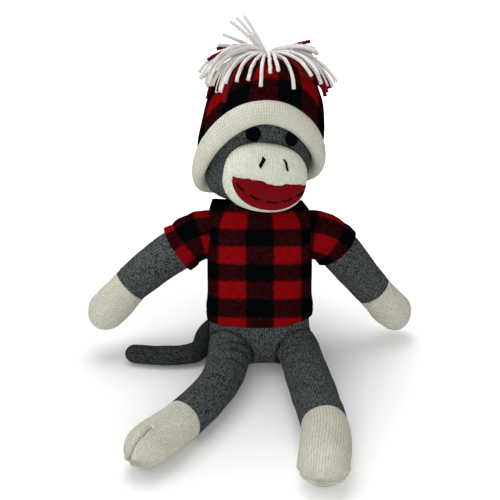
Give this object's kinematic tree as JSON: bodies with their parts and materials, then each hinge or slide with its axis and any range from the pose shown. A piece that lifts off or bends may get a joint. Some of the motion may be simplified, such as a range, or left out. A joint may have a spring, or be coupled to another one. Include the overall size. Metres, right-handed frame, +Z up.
{
  "type": "sock monkey doll",
  "caption": "Sitting sock monkey doll in grey and cream knit, with a red and black plaid shirt and a matching hat with a yarn pompom.",
  "frame": {"origin": "the flat under the seat, in the doll's middle plane, on the surface the doll sits on", "axes": "+Z up, -Y the way the doll faces, +X the doll's left"},
  "size_m": [0.3327, 0.348, 0.3252],
  "materials": {
    "grey_knit": "matte",
    "charcoal_knit": "matte",
    "cream_knit": "matte",
    "red_knit": "matte",
    "plaid_fleece": "matte",
    "black_thread": "matte",
    "black_felt": "matte",
    "white_yarn": "matte",
    "red_yarn": "matte",
    "fibre_fill": "matte"
  },
  "bodies": {
    "torso": {"torso_skin": "grey_knit", "torso_stuffing": "fibre_fill", "shirt_front": "plaid_fleece", "shirt_back": "plaid_fleece"},
    "head": {"head_skin": "grey_knit", "head_stuffing": "fibre_fill", "muzzle": "cream_knit", "muzzle_stuffing": "fibre_fill", "lips": "red_knit", "mouth_stitch_1": "black_thread", "mouth_stitch_2": "black_thread", "mouth_stitch_3": "black_thread", "mouth_stitch_4": "black_thread", "mouth_stitch_5": "black_thread", "nostril_left": "black_thread", "nostril_right": "black_thread", "eye_left": "black_felt", "eye_right": "black_felt"},
    "hat": {"hat_crown": "plaid_fleece", "hat_brim": "cream_knit", "pompom_white": "white_yarn", "pompom_red": "red_yarn"},
    "arm_left": {"arm_skin_left": "grey_knit", "hand_left": "cream_knit", "arm_stuffing_left": "fibre_fill", "sleeve_left": "plaid_fleece"},
    "arm_right": {"arm_skin_right": "grey_knit", "hand_right": "cream_knit", "arm_stuffing_right": "fibre_fill", "sleeve_right": "plaid_fleece"},
    "leg_left": {"leg_skin_left": "grey_knit", "foot_left": "cream_knit", "leg_stuffing_left": "fibre_fill"},
    "leg_right": {"leg_skin_right": "grey_knit", "foot_right": "cream_knit", "leg_stuffing_right": "fibre_fill"},
    "tail": {"tail_skin": "charcoal_knit", "tail_stuffing": "fibre_fill"}
  },
  "joints": [
    {"name": "neck", "type": "hinge", "parent": "torso", "child": "head", "pos_m": [0, 0.04355, 0.15188], "axis": [0, 0.2756, 0.9613], "range_deg": [-25, 25]},
    {"name": "hat_off", "type": "slide", "parent": "head", "child": "hat", "axis": [0, 0.2756, 0.9613], "range_m": [0, 0.12]},
    {"name": "shoulder_right", "type": "hinge", "parent": "torso", "child": "arm_right", "pos_m": [-0.0503, 0.03473, 0.12112], "axis": [-1, 0, 0], "range_deg": [-60, 100]},
    {"name": "shoulder_left", "type": "hinge", "parent": "torso", "child": "arm_left", "pos_m": [0.0503, 0.03473, 0.12112], "axis": [-1, 0, 0], "range_deg": [-40, 120]},
    {"name": "hip_right", "type": "hinge", "parent": "torso", "child": "leg_right", "pos_m": [-0.0305, -0.022, 0.0205], "axis": [-1, 0, 0], "range_deg": [-74, 25]},
    {"name": "hip_left", "type": "hinge", "parent": "torso", "child": "leg_left", "pos_m": [0.0395, -0.022, 0.0201], "axis": [-1, 0, 0], "range_deg": [-74, 25]},
    {"name": "tail_root", "type": "hinge", "parent": "torso", "child": "tail", "pos_m": [0, 0.0503, 0.0118], "axis": [0, 0, -1], "range_deg": [0, 120]}
  ]
}
